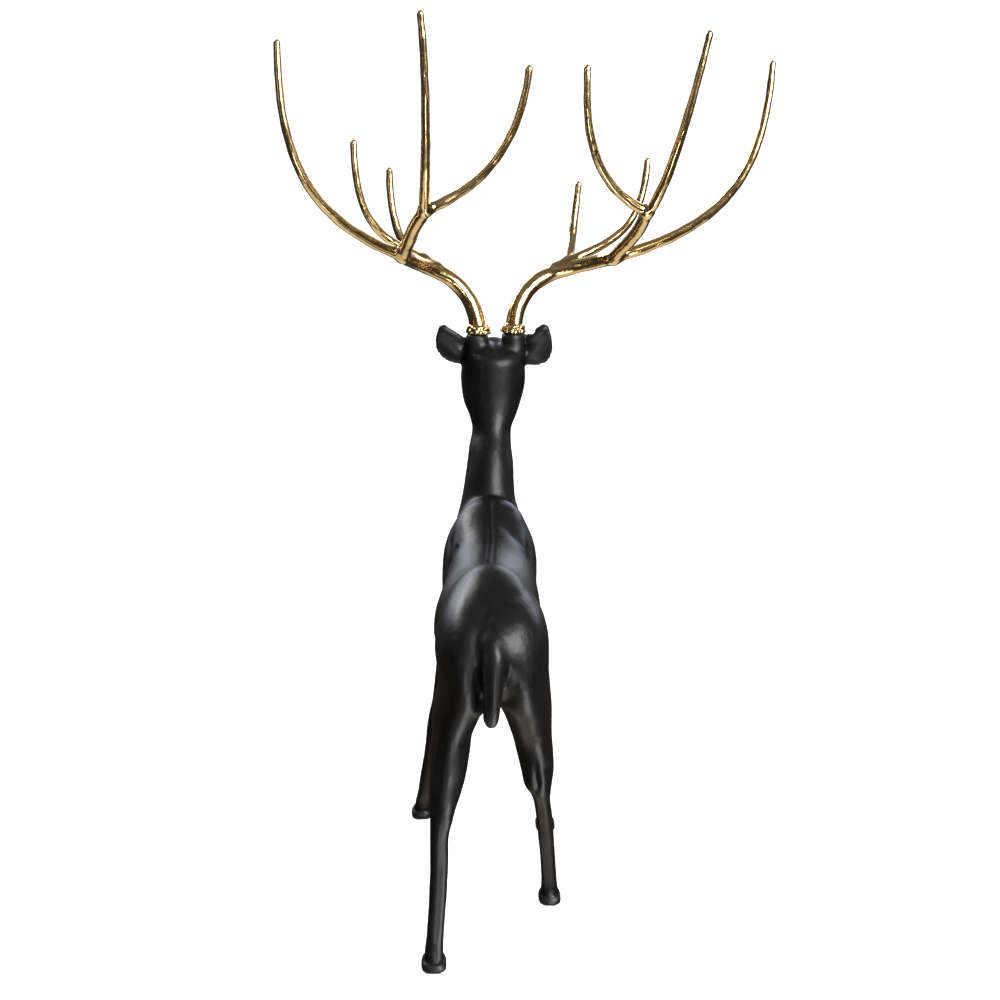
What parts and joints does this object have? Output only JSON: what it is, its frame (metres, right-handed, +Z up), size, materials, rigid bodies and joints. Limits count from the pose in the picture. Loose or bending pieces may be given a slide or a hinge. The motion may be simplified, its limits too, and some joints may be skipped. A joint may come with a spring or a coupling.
{
  "type": "deer sculpture",
  "caption": "Standing figure of a walking stag in black painted cast metal, with tall branching antlers in polished gold-coloured metal.",
  "frame": {"origin": "middle of the whole stag's bounding box, on the surface it stands on", "axes": "+Z up, -Y the way the stag faces, +X its left side"},
  "size_m": [0.7044, 0.783, 1.2015],
  "materials": {
    "black_paint": "satin black paint over a slightly dimpled casting",
    "gilt_metal": "hand polished gold-coloured plating with soft streaks"
  },
  "bodies": {
    "root": {"body": "black_paint", "antler_left": "gilt_metal", "antler_right": "gilt_metal"}
  },
  "joints": []
}
